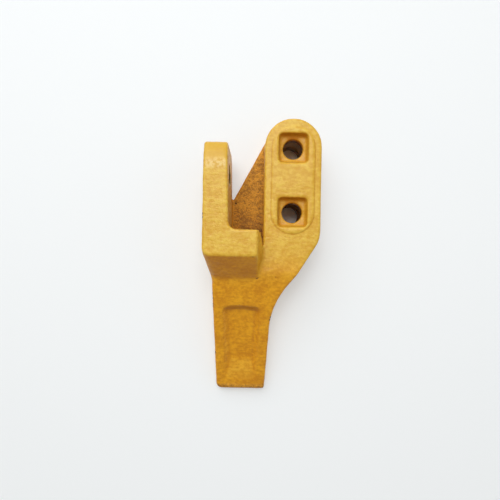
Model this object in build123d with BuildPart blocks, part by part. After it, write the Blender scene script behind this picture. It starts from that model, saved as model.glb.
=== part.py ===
from build123d import *
import os
from math import asin, atan2, cos, degrees, hypot, radians, sin, tan

# Bolt-on corner tooth of an excavating bucket, cast in one piece.
# The bucket's lip plate slides into the slot between the strap, which lies on it, and the lower jaw.
# The lug stands outside the bucket's side plate, and the foot stops against that plate's front edge.
# Millimetres. +Z is up, towards the inside of the bucket. -Y points to the cutting tip.
# The origin lies midway between the two lip bolts, on the strap's seat face.

# Bolts
BOLT_SPACING = 63.5
BOLT_HOLE_DIAMETER = 20.0
HOLE_RIM_RADIUS = 0.8
POCKET_MOUTH = 30.0
POCKET_FLOOR = 25.0
POCKET_DEPTH = 6.5
POCKET_CORNER = 4.0

# Strap, which lies on top of the lip
STRAP_WIDTH = 56.3
STRAP_THICKNESS = 19.0
STRAP_OVERRUN = 1.6
PAD_WIDTH = 42.5
PAD_RISE = 1.0
PAD_DRAFT = 30.0

# Lip slot and the jaw below it
LIP_SLOT = 20.0
LIP_SETBACK = 38.0
THROAT_RADIUS = 4.0
JAW_THICKNESS = 12.0
JAW_END_RADIUS = 31.0
JAW_CORNER_RISE = 3.5

# Lug, which is bolted to the side plate
SIDE_PLATE_GAP = 35.1
LUG_THICKNESS = 23.3
LUG_RISE = 30.5
LUG_BOLT_BACK = 5.0
LUG_BOLT_TO_END = 28.5
LUG_BOLT_HEIGHT = 10.0
LUG_CROWN_LENGTH = 24.0
LUG_CROWN_DROP = 11.0
LUG_LOWER_RADIUS = 13.0
LUG_DRAFT = 1.0
LUG_TAPER = 1.4

# Foot, the step that stops against the side plate's front edge
FOOT_OVERHANG = 19.5
FOOT_AHEAD = 5.4
FOOT_END_SLOPE = 15.5
FOOT_CORNER = 8.0
FOOT_NARROWING = 5.2
RAMP_LEFT_RADIUS = 7.0
RAMP_RIGHT_RADIUS = 3.0
RAMP_FOOT_RADIUS = 4.0
RAMP_ANGLE = 45.0

# Shoulder and nose
SHOULDER_SETBACK = 1.5
SHOULDER_SLANT = 15.5
SHOULDER_RADIUS = 12.0
FLANK_SLANT = 32.0
FLANK_LOWER_SLANT = 38.6
FLANK_START = 11.4
FLANK_RADIUS = 27.0
FLANK_BEND_RADIUS = 40.0
ROOT_RADIUS = 78.0
WAIST_RADIUS = 24.0
NOSE_REACH = 150.2
NOSE_OFFSET = 48.9
TIP_WIDTH = 51.6
TIP_THICKNESS = 11.5
TIP_WORN_CORNER = 6.0
TIP_CORNER = 2.4
NOSE_SIDE_TAPER = 2.3
NOSE_LEAN = 0.4
SLOPE_START = 23.5
SLOPE_BEND_RADIUS = 25.0

# Scoop in the nose's upper face
SCOOP_START = 34.5
SCOOP_LENGTH = 87.0
SCOOP_RAMP = 24.0
SCOOP_DEPTH = 5.0
SCOOP_RAIL = 9.4
SCOOP_ARCH = 2.5
SCOOP_CORNER = 7.0
SCOOP_DRAFT = 48.0

# Softened edges of the casting
CAST_EDGE = 1.8

# Levels and stations that follow from the sizes above
seat_z = 0.0
strap_z = seat_z + STRAP_THICKNESS
jaw_z = seat_z - LIP_SLOT
under_z = jaw_z - JAW_THICKNESS
lug_z = LUG_BOLT_HEIGHT + LUG_RISE
lug_foot_z = jaw_z - JAW_THICKNESS / 2
tip_z = under_z + TIP_THICKNESS
height = lug_z - under_z

pad_z = strap_z + PAD_RISE
pocket_z = pad_z - POCKET_DEPTH
pocket_draft = degrees(atan2((POCKET_MOUTH - POCKET_FLOOR) / 2, POCKET_DEPTH))
hole_radius = BOLT_HOLE_DIAMETER / 2

bolt_y = BOLT_SPACING / 2
lug_bolt_y = LUG_BOLT_BACK
lug_end_y = lug_bolt_y + LUG_BOLT_TO_END
throat_y = -bolt_y - LIP_SETBACK
tip_y = throat_y - NOSE_REACH
slope_y = throat_y - SLOPE_START
shoulder_y = throat_y - SHOULDER_SETBACK
foot_back_y = throat_y + FOOT_OVERHANG
foot_front_y = throat_y - FOOT_AHEAD

strap_half = STRAP_WIDTH / 2
lug_inner_x = -strap_half - SIDE_PLATE_GAP
lug_outer_x = lug_inner_x - LUG_THICKNESS
nose_slope = degrees(atan2(strap_z - tip_z, slope_y - tip_y))


def nose_side_x(side, y):
    """X of the nose's left (-1) or right (+1) side at a station y, before any rounding."""
    run = y - tip_y
    middle_x = -NOSE_OFFSET + run * tan(radians(NOSE_LEAN))
    return middle_x + side * (TIP_WIDTH / 2 + run * tan(radians(NOSE_SIDE_TAPER)))


def crossing(x, y, slant, side):
    """Where a line from (x, y), leaning inwards by slant degrees towards the tip, meets the nose's side."""
    lean = tan(radians(slant))
    side_slope = nose_side_x(side, 1) - nose_side_x(side, 0)
    drop = (nose_side_x(side, y) - x) / (side_slope - side * lean)
    return (x - side * lean * drop, y - drop)


# Corners of the outline, seen from above
shoulder = (lug_outer_x, shoulder_y)
waist = crossing(*shoulder, SHOULDER_SLANT, -1)
tip_left = (nose_side_x(-1, tip_y), tip_y)
tip_right = (nose_side_x(1, tip_y), tip_y)
flank_lean = tan(radians(FLANK_SLANT))


def footprint(right_x):
    """Outline of the whole casting seen from above, with its right side at right_x."""
    flank = (right_x, throat_y + FLANK_START + (right_x - strap_half) / flank_lean)
    flank_bend = (right_x - (flank[1] - slope_y) * flank_lean, slope_y)
    root = crossing(*flank_bend, FLANK_LOWER_SLANT, 1)
    far_y = 2 * BOLT_SPACING
    with BuildSketch() as outline:
        with BuildLine():
            Polyline(
                shoulder,
                waist,
                tip_left,
                tip_right,
                root,
                flank_bend,
                flank,
                (right_x, far_y),
                (lug_outer_x, far_y),
                close=True,
            )
        make_face()
        rounding = {
            shoulder: SHOULDER_RADIUS,
            waist: WAIST_RADIUS,
            tip_left: TIP_WORN_CORNER,
            tip_right: TIP_CORNER,
            flank_bend: FLANK_BEND_RADIUS,
            flank: FLANK_RADIUS,
            root: ROOT_RADIUS,
        }
        for corner, radius in rounding.items():
            fillet(outline.vertices().sort_by_distance(corner)[0], radius)
    return outline.sketch


def upper_level(y):
    """Height of the strap's and the nose's upper face at a station y."""
    return min(strap_z, strap_z + (y - slope_y) * tan(radians(nose_slope)))


def lies_on_top(edge):
    """Whether an edge lies in the upper face of the strap or the nose."""
    return abs(edge.center().Z - upper_level(edge.center().Y)) < 0.7


def edge_near(solid, point):
    """The edge of a solid whose middle lies nearest to a point."""
    return solid.edges().sort_by(lambda edge: (edge.center() - Vector(*point)).length)[0]


# Lower jaw: a plate with a round end about the upper bolt and a slanted edge from the lip's corner to it
reach_x = -lug_outer_x
jaw_corner_y = throat_y + JAW_CORNER_RISE
reach_y = bolt_y - jaw_corner_y
jaw_slant = atan2(reach_x, reach_y) - asin(JAW_END_RADIUS / hypot(reach_x, reach_y))
tangent_point = (-JAW_END_RADIUS * cos(jaw_slant), bolt_y + JAW_END_RADIUS * sin(jaw_slant))

with BuildPart() as jaw:
    with BuildSketch(Plane.XY.offset(under_z)):
        with Locations((0, bolt_y)):
            Circle(JAW_END_RADIUS)
        with BuildLine():
            Polyline(
                (0, bolt_y),
                tangent_point,
                (lug_outer_x, jaw_corner_y),
                (lug_outer_x, throat_y),
                (JAW_END_RADIUS, throat_y),
                (JAW_END_RADIUS, bolt_y),
                close=True,
            )
        make_face()
        add(footprint(JAW_END_RADIUS), mode=Mode.INTERSECT)
    extrude(amount=JAW_THICKNESS)

# Upper body: nose, shoulder and strap, cut to the outline seen from above
with BuildPart() as upper:
    with BuildSketch(Plane.YZ.offset(lug_outer_x)):
        with BuildLine():
            Polyline(
                (tip_y, under_z),
                (throat_y, under_z),
                (throat_y, strap_z),
                (slope_y, strap_z),
                (tip_y, tip_z),
                close=True,
            )
        bend = make_face().vertices().sort_by_distance((slope_y, strap_z))[0]
        fillet(bend, SLOPE_BEND_RADIUS)
    extrude(amount=strap_half - lug_outer_x)
    with BuildSketch(Plane.XY.offset(seat_z)):
        with Locations((0, bolt_y + STRAP_OVERRUN)):
            Circle(strap_half)
            Rectangle(STRAP_WIDTH, bolt_y + STRAP_OVERRUN - throat_y, align=(Align.CENTER, Align.MAX))
    extrude(amount=STRAP_THICKNESS)
    with BuildSketch(Plane.XY.offset(under_z)):
        add(footprint(strap_half))
    extrude(amount=height, mode=Mode.INTERSECT)
    # The upper outline is softened, apart from the bend lines that cross the upper face
    top_edges = upper.edges().filter_by(lies_on_top)
    crossing_edges = top_edges.filter_by(Axis.X)
    bend_lines = crossing_edges.filter_by(lambda edge: edge.center().Y > tip_y + TIP_THICKNESS)
    fillet(top_edges - bend_lines, CAST_EDGE)

# Foot: a block with a sloping end, a ramp down to the nose and a rounded underside over the lip
ramp_run = (lug_z - seat_z) / tan(radians(RAMP_ANGLE))
end_slope = radians(FOOT_END_SLOPE)
end_top_x = -strap_half - (lug_z - strap_z) * tan(end_slope)

with BuildPart() as foot:
    with BuildSketch(Plane.YZ.offset(lug_outer_x)):
        with BuildLine():
            foot_rise = lug_z - strap_z
            EllipticalCenterArc((throat_y, lug_z), FOOT_OVERHANG, foot_rise, start_angle=270, arc_size=90)
            Polyline(
                (foot_back_y, lug_z),
                (foot_front_y, lug_z),
                (foot_front_y - ramp_run, seat_z),
                (throat_y, seat_z),
                (throat_y, strap_z),
            )
        make_face()
    extrude(amount=-lug_outer_x)
    end_normal = (cos(end_slope), 0, sin(end_slope))
    split(bisect_by=Plane((-strap_half, 0, strap_z), x_dir=(0, 1, 0), z_dir=end_normal), keep=Keep.BOTTOM)
    # The ramp narrows towards its foot, so its side leans away from the foot's sloping end
    top_corner = Vector(end_top_x, foot_front_y, lug_z)
    base_corner = Vector(-strap_half, foot_front_y, strap_z)
    ramp_foot_y = foot_front_y - foot_rise / tan(radians(RAMP_ANGLE))
    ramp_foot = Vector(-strap_half - FOOT_NARROWING, ramp_foot_y, strap_z)
    down_edge = base_corner - top_corner
    side_normal = (ramp_foot - top_corner).cross(down_edge)
    split(bisect_by=Plane(top_corner, x_dir=down_edge, z_dir=side_normal), keep=Keep.BOTTOM)

# Lug: a plate along the side plate, crowned at its upper end and rounded at its lower end
draft = radians(LUG_DRAFT)
taper = radians(LUG_TAPER)

with BuildPart() as lug:
    with BuildSketch(Plane.YZ.offset(lug_outer_x)):
        with BuildLine():
            crown_y = lug_end_y - LUG_CROWN_LENGTH
            crown_z = lug_z - LUG_CROWN_DROP
            EllipticalCenterArc((crown_y, crown_z), LUG_CROWN_LENGTH, LUG_CROWN_DROP, arc_size=90)
            Polyline(
                (crown_y, lug_z),
                (throat_y, lug_z),
                (throat_y, lug_foot_z),
                (lug_end_y, lug_foot_z),
                (lug_end_y, crown_z),
            )
        lower_end = make_face().vertices().sort_by_distance((lug_end_y, lug_foot_z))[0]
        fillet(lower_end, LUG_LOWER_RADIUS)
    extrude(amount=-lug_outer_x)
    inner_normal = Vector(cos(draft) * cos(taper), sin(taper), sin(draft))
    split(bisect_by=Plane((lug_inner_x, lug_bolt_y, lug_z), z_dir=inner_normal), keep=Keep.BOTTOM)

# Foot and lug together, cut to the outline seen from above and softened
with BuildPart() as bracket:
    add(foot.part)
    add(lug.part)
    with BuildSketch(Plane.XY.offset(under_z)):
        add(footprint(strap_half))
    extrude(amount=height, mode=Mode.INTERSECT)
    foot_middle = Vector((lug_inner_x - strap_half) / 2, foot_back_y, (strap_z + lug_z) / 2)
    # Hollow corner between the lug and the foot's underside
    fillet(edge_near(bracket, (lug_inner_x, foot_back_y - CAST_EDGE, foot_middle.Z)), FOOT_CORNER)
    # The ramp's two sides, the left one much rounder
    ramp_middle_y = (foot_front_y + ramp_foot_y) / 2
    fillet(edge_near(bracket, (shoulder[0], ramp_middle_y, foot_middle.Z)), RAMP_LEFT_RADIUS)
    fillet(edge_near(bracket, (ramp_foot.X, ramp_middle_y, foot_middle.Z)), RAMP_RIGHT_RADIUS)
    # Upper outline of foot and lug, which runs on down the lug's two sides
    front_edge = edge_near(bracket, (foot_middle.X, foot_front_y, lug_z))
    end_edge = edge_near(bracket, (end_top_x, throat_y, lug_z))
    back_edge = edge_near(bracket, (foot_middle.X, foot_back_y, lug_z))
    outer_edge = edge_near(bracket, (lug_outer_x, foot_back_y, lug_z))
    fillet([front_edge, end_edge, back_edge, outer_edge], CAST_EDGE)

# Scoop: a shallow tray in the nose's sloping face, deep at its upper end and running out towards the tip
nose_plane = Plane(
    (-NOSE_OFFSET, slope_y, strap_z),
    x_dir=(1, 0, 0),
    z_dir=(0, -sin(radians(nose_slope)), cos(radians(nose_slope))),
)
slope_length = (slope_y - tip_y) / cos(radians(nose_slope))
scoop_top = -SCOOP_START
scoop_low = scoop_top - SCOOP_LENGTH


def scoop_half(down):
    """Half the scoop's width at a distance down the slope, one rail's width inside the nose's sides."""
    station = slope_y + down * cos(radians(nose_slope))
    return TIP_WIDTH / 2 + (station - tip_y) * tan(radians(NOSE_SIDE_TAPER)) - SCOOP_RAIL


with BuildPart() as scoop:
    with BuildSketch(nose_plane):
        with BuildLine():
            arch_left = (-scoop_half(scoop_top), scoop_top - SCOOP_ARCH)
            arch_right = (scoop_half(scoop_top), scoop_top - SCOOP_ARCH)
            ThreePointArc(arch_left, (0, scoop_top), arch_right)
            Polyline(
                arch_right,
                (scoop_half(scoop_low), scoop_low),
                (-scoop_half(scoop_low), scoop_low),
                arch_left,
            )
        tray = make_face()
        fillet(tray.vertices(), SCOOP_CORNER)
    extrude(amount=-SCOOP_DEPTH, taper=SCOOP_DRAFT)
    ramp_tilt = atan2(SCOOP_DEPTH, SCOOP_RAMP)
    low_end = nose_plane.from_local_coords(Vector(0, scoop_low, 0))
    ramp_normal = nose_plane.from_local_coords(Vector(0, sin(ramp_tilt), cos(ramp_tilt))) - nose_plane.origin
    split(bisect_by=Plane(low_end, x_dir=(1, 0, 0), z_dir=ramp_normal), keep=Keep.TOP)

with BuildPart() as tooth:
    add(upper.part)
    add(bracket.part)
    add(jaw.part)
    add(scoop.part, mode=Mode.SUBTRACT)

    # Roots of the lip slot, and the ramp's foot
    fillet(edge_near(tooth, (-CAST_EDGE, throat_y, seat_z)), THROAT_RADIUS)
    fillet(edge_near(tooth, (-LIP_SLOT, throat_y, jaw_z)), THROAT_RADIUS)
    fillet(edge_near(tooth, (-NOSE_OFFSET, slope_y - CAST_EDGE, strap_z - CAST_EDGE)), RAMP_FOOT_RADIUS)

    # Free edges of the jaw, above and below
    for level in (jaw_z, under_z):
        right_edge = edge_near(tooth, (JAW_END_RADIUS, seat_z, level))
        round_edge = edge_near(tooth, (JAW_END_RADIUS, bolt_y + JAW_END_RADIUS, level))
        slant_edge = edge_near(tooth, (lug_inner_x / 2 + tangent_point[0] / 2, seat_z, level))
        fillet([right_edge, round_edge, slant_edge], CAST_EDGE)

    # Raised pad round the two lip bolts
    with BuildSketch(Plane.XY.offset(strap_z)):
        SlotCenterToCenter(BOLT_SPACING, PAD_WIDTH, rotation=90)
    extrude(amount=PAD_RISE, taper=PAD_DRAFT)

    # Square pockets for the heads of the lip bolts, and their holes through strap and jaw
    with BuildSketch(Plane.XY.offset(pad_z)):
        with GridLocations(0, BOLT_SPACING, 1, 2):
            RectangleRounded(POCKET_MOUTH, POCKET_MOUTH, POCKET_CORNER)
    extrude(amount=-POCKET_DEPTH, taper=pocket_draft, mode=Mode.SUBTRACT)
    with BuildSketch(Plane.XY.offset(under_z)):
        with GridLocations(0, BOLT_SPACING, 1, 2):
            Circle(hole_radius)
    extrude(amount=pad_z - under_z, mode=Mode.SUBTRACT)

    # The lug's own bolt, with the same pocket in the lug's outer face
    with BuildSketch(Plane.YZ.offset(lug_outer_x)):
        with Locations((lug_bolt_y, LUG_BOLT_HEIGHT)):
            RectangleRounded(POCKET_MOUTH, POCKET_MOUTH, POCKET_CORNER)
    extrude(amount=POCKET_DEPTH, taper=pocket_draft, mode=Mode.SUBTRACT)
    with BuildSketch(Plane.YZ.offset(lug_outer_x)):
        with Locations((lug_bolt_y, LUG_BOLT_HEIGHT)):
            Circle(hole_radius)
    extrude(amount=-lug_outer_x - strap_half, mode=Mode.SUBTRACT)

    # Rounded rims of the lip bolts' holes, at the pocket floors and on the jaw's underside
    circles = tooth.edges().filter_by(GeomType.CIRCLE)
    rims = circles.filter_by(lambda edge: abs(edge.radius - hole_radius) < 0.01)
    floor_rims = rims.filter_by(lambda edge: abs(edge.center().Z - pocket_z) < 0.01)
    under_rims = rims.filter_by(lambda edge: abs(edge.center().Z - under_z) < 0.01)
    fillet(floor_rims + under_rims, HOLE_RIM_RADIUS)

tooth.part.label = "tooth"
os.makedirs("parts", exist_ok=True)
export_step(tooth.part, "parts/tooth.step")
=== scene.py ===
"""A bucket's corner tooth: a rough steel casting under worn ochre paint, dressed round its CAD solid."""

import logging
import math
from dataclasses import dataclass, field
from typing import Any

import bmesh
import bpy
import numpy as np
from mathutils import Euler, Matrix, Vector

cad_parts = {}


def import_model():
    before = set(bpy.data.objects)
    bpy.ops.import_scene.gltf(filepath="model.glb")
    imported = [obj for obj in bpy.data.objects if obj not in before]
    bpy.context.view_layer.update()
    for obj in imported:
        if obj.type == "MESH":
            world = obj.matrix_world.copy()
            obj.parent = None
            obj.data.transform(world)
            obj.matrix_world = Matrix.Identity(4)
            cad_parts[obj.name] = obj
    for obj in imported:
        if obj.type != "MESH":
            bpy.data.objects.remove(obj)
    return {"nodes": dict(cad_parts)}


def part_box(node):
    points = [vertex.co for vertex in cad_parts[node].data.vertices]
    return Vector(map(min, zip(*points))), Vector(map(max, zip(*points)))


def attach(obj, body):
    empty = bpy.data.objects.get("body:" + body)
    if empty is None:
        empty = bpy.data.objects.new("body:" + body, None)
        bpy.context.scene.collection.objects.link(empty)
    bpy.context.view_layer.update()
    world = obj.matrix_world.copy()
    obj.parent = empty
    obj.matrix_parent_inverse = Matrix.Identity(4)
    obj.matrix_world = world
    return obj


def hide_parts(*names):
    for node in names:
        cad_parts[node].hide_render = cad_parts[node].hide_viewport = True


LOG = logging.getLogger("tooth")
MM = 0.001

Colour = tuple[float, float, float, float]
Point = tuple[float, float, float]
Span = tuple[float, float]

# Sockets that Blender's nodes give by number
OBJECT_OUTPUT = 3
NUMBER_OUTPUT = 2
MIX_COLOUR_INPUTS = (0, 6, 7)
MIX_COLOUR_OUTPUT = 2


def srgb(red: float, green: float, blue: float) -> Colour:
    """Turns a display colour of 0 to 255 into Blender's linear colour.

    Args:
        red: Red, 0 to 255.
        green: Green, 0 to 255.
        blue: Blue, 0 to 255.

    Returns:
        Linear red, green, blue and an alpha of 1.
    """
    parts = [channel / 255 for channel in (red, green, blue)]
    linear = [part / 12.92 if part <= 0.04045 else ((part + 0.055) / 1.055) ** 2.4 for part in parts]
    return (linear[0], linear[1], linear[2], 1.0)


# ---------------------------------------------------------------- shader maths


class Sock:
    """A node's output socket that takes part in Python sums."""

    def __init__(self, tree: "Tree", socket: bpy.types.NodeSocket) -> None:
        """Keeps the socket and the tree that it belongs to."""
        self.tree = tree
        self.socket = socket

    def _math(self, operation: str, *values: Any) -> "Sock":
        """Adds a Math node for one operation on values or sockets."""
        inputs = dict(enumerate(values))
        return self.tree.node("ShaderNodeMath", {"operation": operation}, inputs)[0]

    def __add__(self, other: Any) -> "Sock":
        """Sum."""
        return self._math("ADD", self, other)

    __radd__ = __add__

    def __mul__(self, other: Any) -> "Sock":
        """Product."""
        return self._math("MULTIPLY", self, other)

    __rmul__ = __mul__

    def __sub__(self, other: Any) -> "Sock":
        """Difference."""
        return self._math("SUBTRACT", self, other)

    def __rsub__(self, other: Any) -> "Sock":
        """Difference, the other way round."""
        return self._math("SUBTRACT", other, self)

    def __pow__(self, other: Any) -> "Sock":
        """Power."""
        return self._math("POWER", self, other)

    def least(self, other: Any) -> "Sock":
        """The smaller of two values."""
        return self._math("MINIMUM", self, other)

    def ramp(self, low: float, high: float) -> "Sock":
        """A smooth step from 0 at low to 1 at high, where low may lie above high.

        Args:
            low: The value that becomes 0.
            high: The value that becomes 1.

        Returns:
            The stepped value.
        """
        settings = {"interpolation_type": "SMOOTHSTEP"}
        first, last = (0.0, 1.0) if low < high else (1.0, 0.0)
        inputs = {
            "Value": self,
            "From Min": min(low, high),
            "From Max": max(low, high),
            "To Min": first,
            "To Max": last,
        }
        return self.tree.node("ShaderNodeMapRange", settings, inputs)[0]


class Tree:
    """Builds a material's node tree."""

    def __init__(self, name: str) -> None:
        """Starts an empty material under a name."""
        self.material = bpy.data.materials.new(name)
        self.material.use_nodes = True
        self.nodes = self.material.node_tree.nodes
        self.links = self.material.node_tree.links
        self.nodes.clear()

    def node(self, kind: str, settings: dict[str, Any], inputs: dict[Any, Any]) -> list[Sock]:
        """Adds one node.

        Args:
            kind: The node's Blender type.
            settings: Its properties, set before its sockets.
            inputs: Values, colours or sockets by the input's name or number.

        Returns:
            The node's outputs, in order.
        """
        made = self.nodes.new(kind)
        for key, value in settings.items():
            setattr(made, key, value)
        for key, value in inputs.items():
            target = made.inputs[key]
            if isinstance(value, Sock):
                self.links.new(value.socket, target)
            else:
                target.default_value = value
        return [Sock(self, output) for output in made.outputs]

    def mix(self, factor: Any, first: Any, second: Any) -> Sock:
        """Mixes two colours.

        Args:
            factor: 0 for the first colour, 1 for the second.
            first: A colour or a socket.
            second: A colour or a socket.

        Returns:
            The mixed colour.
        """
        made = self.nodes.new("ShaderNodeMix")
        made.data_type = "RGBA"
        made.clamp_factor = True
        for number, value in zip(MIX_COLOUR_INPUTS, (factor, first, second)):
            target = made.inputs[number]
            if isinstance(value, Sock):
                self.links.new(value.socket, target)
            else:
                target.default_value = value
        return Sock(self, made.outputs[MIX_COLOUR_OUTPUT])

    def attribute(self, name: str) -> Sock:
        """Reads a number that the mesh stores at each vertex."""
        return self.node("ShaderNodeAttribute", {"attribute_name": name}, {})[NUMBER_OUTPUT]

    def place(self) -> Sock:
        """The object's own coordinates, in metres."""
        return self.node("ShaderNodeTexCoord", {}, {})[OBJECT_OUTPUT]

    def noise(self, place: Sock, scale: float, detail: float = 3.0, rough: float = 0.5) -> Sock:
        """Fractal noise of 0 to 1.

        Args:
            place: The coordinates that it is read at.
            scale: Lumps to the metre.
            detail: Octaves.
            rough: How much each finer octave counts.

        Returns:
            The noise's value.
        """
        inputs = {"Vector": place, "Scale": scale, "Detail": detail, "Roughness": rough}
        return self.node("ShaderNodeTexNoise", {}, inputs)[0]

    def finish(self, shader: Sock) -> bpy.types.Material:
        """Joins a shader to the material's output."""
        self.node("ShaderNodeOutputMaterial", {}, {"Surface": shader})
        return self.material


# ------------------------------------------------------------------- finishes


@dataclass(frozen=True)
class WornPaint:
    """Ochre paint on rough cast steel, speckled brown inside the jaw and chipped, with painted sheen,
    highlight and shade.
    """

    paint: Colour = srgb(235, 168, 22)
    paint_deep: Colour = srgb(206, 134, 6)
    # Painted sheen: these two lighter tones stand in for the overhead lamp's sheen on faces turned up.
    pale: Colour = srgb(224, 186, 68)
    pale_deep: Colour = srgb(208, 156, 36)
    crown_shade: Colour = srgb(210, 164, 40)
    painted_highlight: Colour = srgb(236, 206, 136)
    jaw: Colour = srgb(222, 156, 42)
    speck_and_shade: Colour = srgb(116, 68, 12)
    shade: Colour = srgb(178, 104, 10)
    hole_shade: Colour = srgb(58, 38, 18)
    bare: Colour = srgb(74, 54, 30)
    cloud_scale: float = 70.0
    mottle_scale: float = 330.0
    ripple_scale: float = 420.0
    grain_scale: float = 800.0
    ripple_stretch: Point = (0.35, 1.0, 1.0)
    relief_height: float = 0.6 * MM
    gloss: float = 0.45

    def build(self) -> bpy.types.Material:
        """Makes the material.

        Returns:
            A material that reads the casting's own fields: painted sheen, the crown's painted shading,
            painted highlight, painted shade in hollows, towards the tip, in the jaw's corner and in the
            bolt holes, and the raw jaw face and the chips.
        """
        tree = Tree("worn_ochre_paint")
        place = tree.place()
        cloud = tree.noise(place, self.cloud_scale, rough=0.55)
        mottle = tree.noise(place, self.mottle_scale, rough=0.6)
        grain = tree.noise(place, self.grain_scale, rough=0.6)
        mapping = {"Vector": place, "Scale": self.ripple_stretch}
        stretched = tree.node("ShaderNodeMapping", {}, mapping)[0]
        ripple = tree.noise(stretched, self.ripple_scale, 2)
        raw = tree.attribute("raw")
        worn = (tree.attribute("chip") * 1.4 + (grain - 0.5) * 1.3).ramp(0.5, 0.8)

        tone = (cloud * 0.3 + mottle * 0.4 + ripple * 0.3).ramp(0.38, 0.64)
        colour = self.painted(tree, tone, mottle)
        specks = (cloud * 0.25 + mottle * 0.35 + grain * 0.40).ramp(0.60, 0.40)
        # Painted shade: the jaw's inner corner darkens to the dark brown of the specks, on top of its real
        # specks.
        dark = (specks * 0.75 + tree.attribute("deep") * 0.55).least(1.0)
        colour = tree.mix(raw, colour, tree.mix(dark, self.jaw, self.speck_and_shade))
        # Painted shade: the bolt holes' walls and the jaw's face round its holes go dark.
        colour = tree.mix(tree.attribute("hole_shade") * 0.9, colour, self.hole_shade)
        colour = tree.mix(worn, colour, self.bare)

        rough = (0.40 + (grain - 0.5) * 0.2 + raw * 0.3 + worn * 0.15).least(0.95)
        relief = (mottle * 0.6 + ripple * 0.3 + grain * 0.4) * (1 + raw * 1.6) - worn * 0.4
        raised = {"Strength": 1.0, "Distance": self.relief_height, "Height": relief}
        inputs = {
            "Base Color": colour,
            "Roughness": rough,
            "Normal": tree.node("ShaderNodeBump", {}, raised)[0],
            "Specular IOR Level": self.gloss,
        }
        return tree.finish(tree.node("ShaderNodeBsdfPrincipled", {}, inputs)[0])

    def painted(self, tree: Tree, tone: Sock, mottle: Sock) -> Sock:
        """The paint's colour, with its painted sheen, highlight and shade, before wear and the bolt holes'
        painted shade.

        Args:
            tree: The material's tree.
            tone: 0 for a colour's deep tone, 1 for its light one.
            mottle: Noise that breaks up the painted highlight.

        Returns:
            The colour.
        """
        colour = tree.mix(tone, self.paint_deep, self.paint)
        pale = tree.mix(tone, self.pale_deep, self.pale)
        # Painted sheen: faces turned up take the lighter tone in place of the lamp's sheen.
        colour = tree.mix(tree.attribute("painted_sheen"), colour, pale)
        # Painted shading: the lug's rounded end takes a deeper yellow for its curve away from the sheen.
        colour = tree.mix(tree.attribute("crown"), colour, self.crown_shade)
        # Painted highlight: a light band on the lug and its light inner side, broken up by mottle.
        painted_highlight = tree.attribute("painted_highlight") * mottle.ramp(0.36, 0.62)
        colour = tree.mix(painted_highlight, colour, self.painted_highlight)
        # Painted shade: recesses, the pockets and the fine grooves darken towards the shade colour.
        colour = tree.mix(tree.attribute("hollow").ramp(0.1, 0.9) * 0.5, colour, self.shade)
        # Painted shade: faces that look towards the tip, away from the lamps, darken towards the shade
        # colour.
        return tree.mix(tree.attribute("lee_shade") * 0.45, colour, self.shade)


@dataclass(frozen=True)
class PaleFloor:
    """A matt floor, part of which the camera sees as an even pale sheet, so that shadows stay light.

    The sheet leaves out two spots under the tooth, which are seen only through the lip bolts' holes.
    """

    colour: Colour = srgb(239, 244, 247)
    sheet: Colour = srgb(249, 249, 246)
    share: float = 0.4
    spots: tuple[Span, ...] = ((0.003, 0.040), (0.003, -0.026))
    spot_radius: float = 0.024
    spot_core: float = 0.8

    def build(self) -> bpy.types.Material:
        """Makes the material.

        Returns:
            The floor's material.
        """
        tree = Tree("pale_floor")
        inputs = {"Base Color": self.colour, "Roughness": 0.9, "Specular IOR Level": 0.0}
        matt = tree.node("ShaderNodeBsdfPrincipled", {}, inputs)[0]
        even = tree.node("ShaderNodeEmission", {}, {"Color": self.sheet, "Strength": 1.0})[0]
        seen = tree.node("ShaderNodeLightPath", {}, {})[0] * self.share
        x, y, _ = tree.node("ShaderNodeSeparateXYZ", {}, {"Vector": tree.place()})
        for spot_x, spot_y in self.spots:
            away = ((x - spot_x) ** 2 + (y - spot_y) ** 2) ** 0.5
            seen = seen * away.ramp(self.spot_radius * self.spot_core, self.spot_radius)
        return tree.finish(tree.node("ShaderNodeMixShader", {}, {0: seen, 1: matt, 2: even})[0])


# ------------------------------------------------------------- number fields


LATTICE_SHIFT = 1000.0
SEED_SHIFT = 7.31


def lattice_noise(points: np.ndarray, cell: float, seed: int) -> np.ndarray:
    """Smooth noise of -1 to 1 in space.

    Every corner of a cubic lattice gets a number from a hash of its three indices. A point's value is
    the blend of its cell's eight corners, weighted by 3t^2 - 2t^3 of its place t along each side.

    Args:
        points: Points, n by 3, in metres.
        cell: The lattice's pitch, in metres.
        seed: A whole number that picks the pattern.

    Returns:
        n values.
    """
    scaled = points / cell + LATTICE_SHIFT + seed * SEED_SHIFT
    base = np.floor(scaled).astype(np.int64)
    part = scaled - base
    weight = part * part * (3 - 2 * part)
    total = np.zeros(len(points))
    for corner in range(8):
        offset = np.array([corner & 1, corner >> 1 & 1, corner >> 2 & 1])
        column, row, layer = (base + offset).T
        mixed = column * 73856093 ^ row * 19349663 ^ layer * 83492791 ^ seed * 2654435761
        mixed = (mixed ^ mixed >> 13) * 1274126177
        value = ((mixed ^ mixed >> 16) & 0xFFFF) / 32767.5 - 1
        share = np.prod(np.where(offset == 1, weight, 1 - weight), axis=1)
        total += value * share
    return total


def smooth_step(values: np.ndarray, low: float, high: float) -> np.ndarray:
    """A smooth step, 3t^2 - 2t^3, where t runs from 0 at low to 1 at high."""
    part = np.clip((values - low) / (high - low), 0, 1)
    return part * part * (3 - 2 * part)


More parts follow.
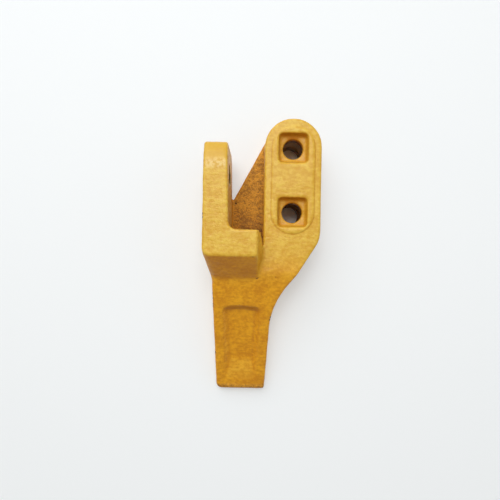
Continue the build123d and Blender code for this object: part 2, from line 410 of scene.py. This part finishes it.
@dataclass
class Skin:
    """A closed mesh as whole arrays: its points, and the edges that join them."""

    points: np.ndarray
    edges: np.ndarray

    @classmethod
    def of(cls, mesh: bpy.types.Mesh) -> "Skin":
        """Reads a mesh's points and edges.

        Args:
            mesh: The mesh.

        Returns:
            Its skin.
        """
        points = np.empty(len(mesh.vertices) * 3)
        mesh.vertices.foreach_get("co", points)
        edges = np.empty(len(mesh.edges) * 2, np.int64)
        mesh.edges.foreach_get("vertices", edges)
        return cls(points.reshape(-1, 3), edges.reshape(-1, 2))

    def averaged(self, values: np.ndarray, rounds: int) -> np.ndarray:
        """Replaces each point's value by the mean of its own and its neighbours', several times over.

        Args:
            values: n values, or n by k.
            rounds: How often.

        Returns:
            The averaged values, in the same shape.
        """
        first, second = self.edges[:, 0], self.edges[:, 1]
        count = np.bincount(self.edges.ravel(), minlength=len(self.points)) + 1.0
        flat = values.reshape(len(self.points), -1).astype(float)
        for _ in range(rounds):
            sums = flat.copy()
            for column in range(flat.shape[1]):
                sums[:, column] += np.bincount(first, flat[second, column], len(flat))
                sums[:, column] += np.bincount(second, flat[first, column], len(flat))
            flat = sums / count[:, None]
        return flat.reshape(values.shape)


# -------------------------------------------------------------- sub-assemblies


MERGE_DISTANCE = 1e-6


@dataclass(frozen=True)
class Mark:
    """A small blemish of the casting: a pit in its skin, or a chip in its paint.

    Place and radius are in millimetres, like the part's own sizes.
    """

    place: Point
    radius: float
    depth: float = 0.0
    chip: float = 1.0


MARKS = (
    Mark((-78.2, -113.4, 11.4), 1.3),
    Mark((-78.0, -118.6, 9.8), 1.6),
    Mark((-77.6, -124.9, 7.8), 1.4),
    Mark((-77.4, -127.4, 7.2), 1.3),
    Mark((-75.4, -177.6, -8.2), 1.4),
    Mark((-19.0, -137.6, 4.0), 1.5),
    Mark((-19.6, -140.8, 3.0), 1.4),
    Mark((-22.0, -195.1, -13.8), 1.1),
    Mark((-38.6, -136.6, 3.0), 1.3, 0.5, 0.5),
    Mark((-48.1, -149.2, -2.5), 1.3, 0.4, 0.4),
    Mark((-40.5, -153.3, -4.0), 1.1, 0.35, 0.2),
    Mark((-59.6, -159.8, -5.5), 1.1, 0.35, 0.2),
    Mark((-40.4, -162.2, -6.5), 1.1, 0.35, 0.2),
    Mark((-47.0, -125.4, 8.6), 1.1, 0.4, 0.5),
    Mark((-50.5, -125.6, 8.6), 1.3, 0.4, 0.6),
    Mark((-54.5, -125.8, 8.4), 1.1, 0.3, 0.4),
    Mark((-43.0, -125.6, 8.4), 1.2, 0.3, 0.4),
    Mark((-38.0, -126.6, 8.2), 1.1, 0.3, 0.4),
    Mark((-34.6, -98.2, 17.4), 1.2, 0.6, 0.5),
    Mark((-33.2, -97.4, 17.6), 1.3, 0.7, 0.55),
    Mark((-32.0, -96.8, 17.8), 0.9, 0.4, 0.4),
    Mark((-15.6, -96.2, 18.1), 1.3, 0.5, 0.5),
    Mark((-14.2, -97.0, 17.9), 0.9, 0.3, 0.3),
    Mark((-10.9, -97.7, 17.6), 0.9, 0.3, 0.3),
    Mark((-5.1, 60.9, 17.4), 1.3),
    Mark((-85.8, -36.7, 39.4), 1.2, 0.0, 0.8),
    Mark((-85.8, -39.8, 39.4), 1.1, 0.0, 0.8),
    Mark((-34.6, -53.4, 40.0), 0.9, 0.2, 0.5),
    Mark((-34.9, -58.0, 40.0), 0.7, 0.2, 0.4),
    Mark((-34.4, -64.4, 40.0), 0.8, 0.2, 0.4),
    Mark((-38.6, -75.9, 39.2), 1.1, 0.3, 0.5),
    Mark((-36.8, -75.9, 39.2), 0.8, 0.2, 0.4),
    Mark((-57.3, -19.4, -20.0), 1.5, 0.6, 0.6),
    Mark((-55.6, -22.0, -20.0), 1.1, 0.4, 0.5),
    Mark((-28.6, -4.4, -20.0), 1.4, 0.5, 0.6),
    Mark((-31.8, -6.0, -20.0), 1.1, 0.4, 0.5),
    Mark((-46.9, -50.2, -20.0), 1.5, 0.5, 0.6),
)


@dataclass
class CastTooth:
    """The whole tooth: one casting, with softened edges, a rough skin, the wear of its paint and the
    sheen, highlight and shade painted into it.

    Its sizes are in millimetres, like the part's own. A span is a pair of places or values over which
    a field fades in, from 0 at the first to 1 at the second.
    """

    # The part's own sizes
    bolt_y: float = 31.75
    bore_radius: float = 10.0
    pocket_half: float = 15.0
    pad_half: float = 21.25
    strap_top: float = 19.0
    jaw_top: float = -20.0
    lug_bolt: Span = (5.0, 10.0)
    lug_bore_x: Span = (-80.0, -60.0)
    throat: Span = (-26.0, -64.0)
    ramp_foot_line: Span = (-98.3, 17.5)

    # The skin
    voxel: float = 1.08
    soften_rounds: int = 2
    foot_rounds: int = 14
    lump_cell: float = 14.0
    lump_height: float = 0.14
    ripple_cell: float = 5.5
    ripple_height: float = 0.10
    grit_cell: float = 2.6
    grit_height: float = 0.06
    pit_cell: float = 3.6
    pit_depth: float = 0.4
    fold_y: float = -12.1
    fold_depth: float = 0.22
    groove_depth: float = 0.28

    # Where the paint changes, and where sheen, highlight and shade are painted into it
    sheen_y: Span = (-108.0, -66.0)
    sheen_z: Span = (-18.0, -12.0)
    lee_shade_facing: Span = (0.36, 0.66)
    crown_y: Span = (14.5, 19.0)
    painted_highlight_y: float = 11.0
    hollow_depth: float = 0.5
    finish: WornPaint = field(default_factory=WornPaint)

    def blank(self) -> bpy.types.Mesh:
        """Copies the CAD node's mesh, merged into one closed shell, and remeshes it in small even faces.

        Returns:
            The new mesh.
        """
        source = frame_nodes()["tooth"].data.copy()
        shell = bmesh.new()
        shell.from_mesh(source)
        bmesh.ops.remove_doubles(shell, verts=shell.verts, dist=MERGE_DISTANCE)
        shell.to_mesh(source)
        shell.free()
        body = bpy.data.objects.new("blank", source)
        bpy.context.scene.collection.objects.link(body)
        remesh = body.modifiers.new("even", "REMESH")
        remesh.mode = "VOXEL"
        remesh.voxel_size = self.voxel * MM
        graph = bpy.context.evaluated_depsgraph_get()
        mesh = bpy.data.meshes.new_from_object(body.evaluated_get(graph))
        bpy.data.objects.remove(body)
        return mesh

    def sculpt(self, mesh: bpy.types.Mesh) -> Skin:
        """Softens the casting's edges and gives it the uneven skin of a sand casting.

        Points first move to their neighbours' mean. Then each goes along its normal by a sum of three
        lattice noises, coarse to fine, stronger on the raw face inside the jaw, less the pits and the
        fold line above the lower pocket.

        Args:
            mesh: The even mesh, changed in place.

        Returns:
            The final points and edges.
        """
        skin = Skin.of(mesh)
        skin.points = skin.averaged(skin.points, self.soften_rounds)
        blend = self.ramp_foot(skin)[:, None]
        skin.points = skin.points * (1 - blend) + skin.averaged(skin.points, self.foot_rounds) * blend
        self.write(mesh, skin.points)
        normals = self.normals(mesh)
        raw = self.raw_mask(skin, normals)
        lumps = lattice_noise(skin.points, self.lump_cell * MM, 1) * self.lump_height
        ripples = lattice_noise(skin.points, self.ripple_cell * MM, 2) * self.ripple_height
        grit = lattice_noise(skin.points, self.grit_cell * MM, 3) * self.grit_height
        pits = smooth_step(lattice_noise(skin.points, self.pit_cell * MM, 4), 0.6, 0.95) * self.pit_depth
        move = (lumps + ripples + grit) * (1 + 1.2 * raw) - pits * (0.15 + 0.85 * raw)
        for mark in MARKS:
            if mark.depth > 0:
                move = move - mark.depth * self.near(skin, mark)
        move = move - self.fold_depth * self.fold_line(skin, normals)
        move = move - self.groove_depth * self.pad_line(skin, normals)
        skin.points = skin.points + normals * (move * MM)[:, None]
        self.write(mesh, skin.points)
        return skin

    def near(self, skin: Skin, mark: Mark) -> np.ndarray:
        """1 at a mark's middle, falling smoothly to 0 at its radius, ragged by noise.

        Args:
            skin: The points and edges.
            mark: The pit or chip.

        Returns:
            0 to 1 at each point.
        """
        away = np.linalg.norm(skin.points - np.array(mark.place) * MM, axis=1) / (mark.radius * MM)
        ragged = lattice_noise(skin.points, 1.6 * MM, 9) * 0.35
        return smooth_step(-(away + ragged), -1.15, -0.35)

    def ramp_foot(self, skin: Skin) -> np.ndarray:
        """1 along the foot of the ramp, where it runs softly into the nose.

        Args:
            skin: The points and edges.

        Returns:
            0 to 1 at each point.
        """
        x, y, z = (skin.points / MM).T
        foot_y, foot_z = self.ramp_foot_line
        away = np.hypot(y - foot_y, z - foot_z)
        return smooth_step(-away, -9.0, -4.0) * smooth_step(-x, 30.0, 36.0)

    def pad_line(self, skin: Skin, normals: np.ndarray) -> np.ndarray:
        """1 along the foot of the raised pad's edge, fading out round its upper end.

        A point's distance from the pad's outline is hypot(x, max(|y| - b, 0)) - h, for the bolts'
        half spacing b and the pad's half width h.

        Args:
            skin: The points and edges.
            normals: The outward directions.

        Returns:
            0 to 1 at each point.
        """
        x, y, z = (skin.points / MM).T
        away = np.hypot(x, np.maximum(np.abs(y) - self.bolt_y, 0)) - self.pad_half
        line = smooth_step(-np.abs(away - 0.3), -1.1, -0.2)
        return line * smooth_step(-y, -50.0, -34.0) * (z > 15) * (normals[:, 2] > 0.5)

    def fold_line(self, skin: Skin, normals: np.ndarray) -> np.ndarray:
        """1 along the faint line that crosses the pad above the lower pocket.

        Args:
            skin: The points and edges.
            normals: The outward directions.

        Returns:
            0 to 1 at each point.
        """
        x, y, z = (skin.points / MM).T
        across = smooth_step(-np.abs(y - self.fold_y), -1.1, -0.2)
        along = smooth_step(-np.abs(x), -13.0, -11.0)
        return across * along * (z > 15) * (normals[:, 2] > 0.8)

    def write(self, mesh: bpy.types.Mesh, points: np.ndarray) -> None:
        """Puts points back into a mesh, kept inside the CAD node's own box.

        Args:
            mesh: The mesh.
            points: Its new points, n by 3, in metres.
        """
        low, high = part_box("tooth")
        kept = np.clip(points, np.array(low), np.array(high))
        mesh.vertices.foreach_set("co", kept.ravel())
        mesh.update()

    def normals(self, mesh: bpy.types.Mesh) -> np.ndarray:
        """The outward direction at each point.

        Args:
            mesh: The mesh.

        Returns:
            n directions, n by 3.
        """
        normals = np.empty(len(mesh.vertices) * 3)
        mesh.vertices.foreach_get("normal", normals)
        return normals.reshape(-1, 3)

    def raw_mask(self, skin: Skin, normals: np.ndarray) -> np.ndarray:
        """1 where the paint is gone: on the jaw's inner face and in the slot's throat.

        Args:
            skin: The points and edges.
            normals: The outward directions.

        Returns:
            0 to 1 at each point.
        """
        level = smooth_step(-np.abs(skin.points[:, 2] / MM - self.jaw_top), -1.6, -0.4)
        facing = smooth_step(normals[:, 2], 0.55, 0.85)
        return skin.averaged(level * facing, 2)

    def store(self, mesh: bpy.types.Mesh, name: str, values: np.ndarray) -> None:
        """Stores one number at each vertex for the material to read.

        Args:
            mesh: The mesh.
            name: The attribute's name.
            values: One number for each vertex.
        """
        layer = mesh.attributes.new(name, "FLOAT", "POINT")
        layer.data.foreach_set("value", values.astype(np.float32))

    def pockets(self, skin: Skin) -> np.ndarray:
        """1 inside the strap's two square pockets.

        Args:
            skin: The points and edges.

        Returns:
            0 to 1 at each point.
        """
        x, y, z = (skin.points / MM).T
        square = (np.abs(x) < self.pocket_half) * (np.abs(np.abs(y) - self.bolt_y) < self.pocket_half)
        return square * (z < self.strap_top) * (z > 0.0)

    def sheen_share(self, skin: Skin, soft: np.ndarray, lee_shade: np.ndarray) -> np.ndarray:
        """How much painted sheen a point has: a lighter tone that stands in for the overhead lamp's sheen.

        It is strong on the strap, the foot and the lug, weaker on their sides and in the pockets, and
        slight on any face that leans up and away from the tip, towards the lamps.

        Args:
            skin: The points and edges.
            soft: The averaged outward directions.
            lee_shade: 1 on faces that look towards the tip.

        Returns:
            0 to 1 at each point.
        """
        _, y, z = (skin.points / MM).T
        level = 0.3 + 0.7 * smooth_step(soft[:, 2], 0.1, 0.5)
        upper = smooth_step(y, *self.sheen_y) * smooth_step(z, *self.sheen_z)
        upper = upper * (1 - lee_shade) * level * (1 - 0.2 * self.pockets(skin))
        leaning = soft[:, 2] * 0.94 + soft[:, 1] * 0.35
        return np.maximum(upper, smooth_step(leaning, 0.84, 0.93) * 0.35)

    def crown_shaded(self, skin: Skin, soft: np.ndarray) -> np.ndarray:
        """Painted shading of the lug's rounded end: a deeper yellow tone for its curve, which turns away
        from the lamps' sheen.

        Args:
            skin: The points and edges.
            soft: The averaged outward directions.

        Returns:
            0 to 1 at each point.
        """
        x, y, _ = (skin.points / MM).T
        place = smooth_step(y, *self.crown_y) * smooth_step(-x, 52.0, 62.0)
        return place * smooth_step(soft[:, 2], -0.1, 0.7) * 0.75

    def highlighted(self, skin: Skin, soft: np.ndarray) -> np.ndarray:
        """Painted highlight: a light band across the lug before its rounded end, and a light inner side of
        the lug in place of its grazing reflection of the pale floor.

        Args:
            skin: The points and edges.
            soft: The averaged outward directions.

        Returns:
            0 to 1 at each point.
        """
        x, y, z = (skin.points / MM).T
        band = smooth_step(-np.abs(y - self.painted_highlight_y), -7.0, -1.0) * smooth_step(-x, 58.0, 66.0)
        band = band * smooth_step(soft[:, 2], 0.9, 0.98) * 0.7
        side = smooth_step(soft[:, 0], 0.6, 0.9) * smooth_step(-x, 52.0, 58.0)
        return np.maximum(band, side * smooth_step(z, -19.0, -10.0) * 0.8)

    def hole_shaded(self, skin: Skin) -> np.ndarray:
        """Painted shade: 1 on the walls of the three bolt holes, and round the jaw's holes on its inner
        face, which are painted dark as the shade deep inside them.

        Args:
            skin: The points and edges.

        Returns:
            0 to 1 at each point.
        """
        x, y, z = (skin.points / MM).T
        hole_shade = np.zeros(len(x))
        for side in (-1, 1):
            away = np.hypot(x, y - side * self.bolt_y) - self.bore_radius
            wall = smooth_step(-away, -1.0, -0.3) * smooth_step(-z, -12.0, -5.0)
            ring = smooth_step(-away, -9.0, -6.0) * (z < self.jaw_top + 3.0)
            hole_shade = np.maximum(hole_shade, np.maximum(wall, ring))
        bolt_y, bolt_z = self.lug_bolt
        outer, inner = self.lug_bore_x
        away = np.hypot(y - bolt_y, z - bolt_z) - self.bore_radius
        return np.maximum(hole_shade, smooth_step(-away, -1.0, -0.3) * (x > outer) * (x < inner))

    def mark(self, mesh: bpy.types.Mesh, skin: Skin) -> None:
        """Works out the fields that the paint reads.

        Hollow is how far a point lies below its neighbourhood's mean, and it is raised in the pockets and
        the fine grooves; it paints shade into those recesses. Lee is 1 on faces that look towards the tip,
        which get painted shade, and deep is 1 in the jaw's inner corner, which is painted dark as shade.

        Args:
            mesh: The finished mesh.
            skin: Its points and edges.
        """
        normals = self.normals(mesh)
        soft = skin.averaged(normals, 3)
        raw = self.raw_mask(skin, normals)
        lee_shade = smooth_step(-skin.averaged(normals, 10)[:, 1], *self.lee_shade_facing)
        sunk = -np.sum((skin.points - skin.averaged(skin.points, 8)) * soft, axis=1) / MM
        # Painted shade: the pad's foot and the fold line darken like the shade in a crease.
        line = np.maximum(self.pad_line(skin, normals), self.fold_line(skin, normals) * 0.6)
        hollow = np.maximum(np.clip(sunk / self.hollow_depth, 0, 1), line * 0.7)
        # Painted shade: the jaw's inner corner, round the throat, is darkened as if in shade.
        corner = skin.points[:, :2] / MM - np.array(self.throat)
        chip = np.zeros(len(raw))
        for mark in MARKS:
            chip = np.maximum(chip, mark.chip * self.near(skin, mark))
        fields = {
            "hollow": np.maximum(hollow, self.pockets(skin) * 0.6),
            "raw": raw,
            "chip": chip,
            "painted_sheen": self.sheen_share(skin, soft, lee_shade) * (1 - raw),
            "crown": self.crown_shaded(skin, soft),
            "painted_highlight": self.highlighted(skin, soft),
            "deep": smooth_step(-np.hypot(*corner.T), -36.0, -6.0),
            "hole_shade": self.hole_shaded(skin),
            "lee_shade": lee_shade,
        }
        for name, values in fields.items():
            self.store(mesh, name, values)

    def build(self) -> bpy.types.Object:
        """Makes the casting and hands it over to the frame.

        Returns:
            The finished piece.
        """
        mesh = self.blank()
        skin = self.sculpt(mesh)
        self.mark(mesh, skin)
        mesh.shade_smooth()
        mesh.materials.clear()
        mesh.materials.append(self.finish.build())
        piece = bpy.data.objects.new("tooth_casting", mesh)
        bpy.context.scene.collection.objects.link(piece)
        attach(piece, "root")
        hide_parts("tooth")
        LOG.info("tooth_casting: %d points, %d faces", len(mesh.vertices), len(mesh.polygons))
        return piece


@dataclass(frozen=True)
class Lamp:
    """A square soft lamp: its place and side in metres, and its power in watts."""

    name: str
    place: Point
    size: float
    power: float

    def hang(self, aim: Point) -> None:
        """Hangs the lamp so that it faces a point.

        Args:
            aim: The point, in metres.
        """
        light = bpy.data.lights.new(self.name, "AREA")
        light.shape = "SQUARE"
        light.size = self.size
        light.energy = self.power
        hung = bpy.data.objects.new(self.name, light)
        hung.location = self.place
        hung.rotation_euler = (Vector(aim) - Vector(self.place)).to_track_quat("-Z", "Y").to_euler()
        bpy.context.scene.collection.objects.link(hung)


@dataclass
class Studio:
    """The pale floor, the soft lamps and the camera straight above."""

    floor_level: float = -32.0 * MM
    floor_half: float = 1.6
    camera_place: Point = (-41.1 * MM, -69.6 * MM, 403.0 * MM)
    camera_turn: float = 1.1
    camera_lens: float = 28.07
    camera_sensor: float = 36.0
    surround: float = 0.34
    surround_colour: Colour = (1.0, 1.0, 1.0, 1.0)
    aim: Point = (-0.04, -0.07, 0.0)
    lamps: tuple[Lamp, ...] = (
        Lamp("window", (-0.60, 1.18, 1.50), 2.0, 28.0),
        Lamp("overhead", (-0.08, 0.38, 1.10), 0.5, 4.2),
        Lamp("fill", (1.20, 0.10, 0.90), 1.0, 1.6),
    )

    def floor(self) -> None:
        """Lays a square sheet under the tooth."""
        half = self.floor_half
        corners = np.array([[-half, -half], [half, -half], [half, half], [-half, half]])
        points = np.column_stack([corners, np.full(4, self.floor_level)])
        mesh = bpy.data.meshes.new("floor")
        mesh.from_pydata(points.tolist(), [], [(0, 1, 2, 3)])
        mesh.materials.append(PaleFloor().build())
        sheet = bpy.data.objects.new("floor", mesh)
        bpy.context.scene.collection.objects.link(sheet)

    def camera(self) -> None:
        """Sets the camera straight above, looking down."""
        lens = bpy.data.cameras.new("camera")
        lens.lens = self.camera_lens
        lens.sensor_width = self.camera_sensor
        eye = bpy.data.objects.new("camera", lens)
        eye.location = self.camera_place
        eye.rotation_euler = Euler((0, 0, math.radians(self.camera_turn)))
        bpy.context.scene.collection.objects.link(eye)
        bpy.context.scene.camera = eye

    def build(self) -> None:
        """Sets up everything around the tooth."""
        self.camera()
        self.floor()
        world = bpy.data.worlds.new("surround")
        world.use_nodes = True
        background = world.node_tree.nodes["Background"]
        background.inputs["Color"].default_value = self.surround_colour
        background.inputs["Strength"].default_value = self.surround
        bpy.context.scene.world = world
        for lamp in self.lamps:
            lamp.hang(self.aim)
        bpy.context.scene.view_settings.view_transform = "Standard"
        LOG.info("studio: floor, lamps and camera")


def frame_nodes() -> dict[str, bpy.types.Object]:
    """The CAD nodes by name, as the frame gives them."""
    return FRAME["nodes"]


def main() -> None:
    """Builds the scene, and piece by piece."""
    logging.basicConfig(level=logging.INFO, format="%(message)s")
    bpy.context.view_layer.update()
    Studio().build()
    CastTooth().build()


if __name__ == "__main__":
    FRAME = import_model()
    main()
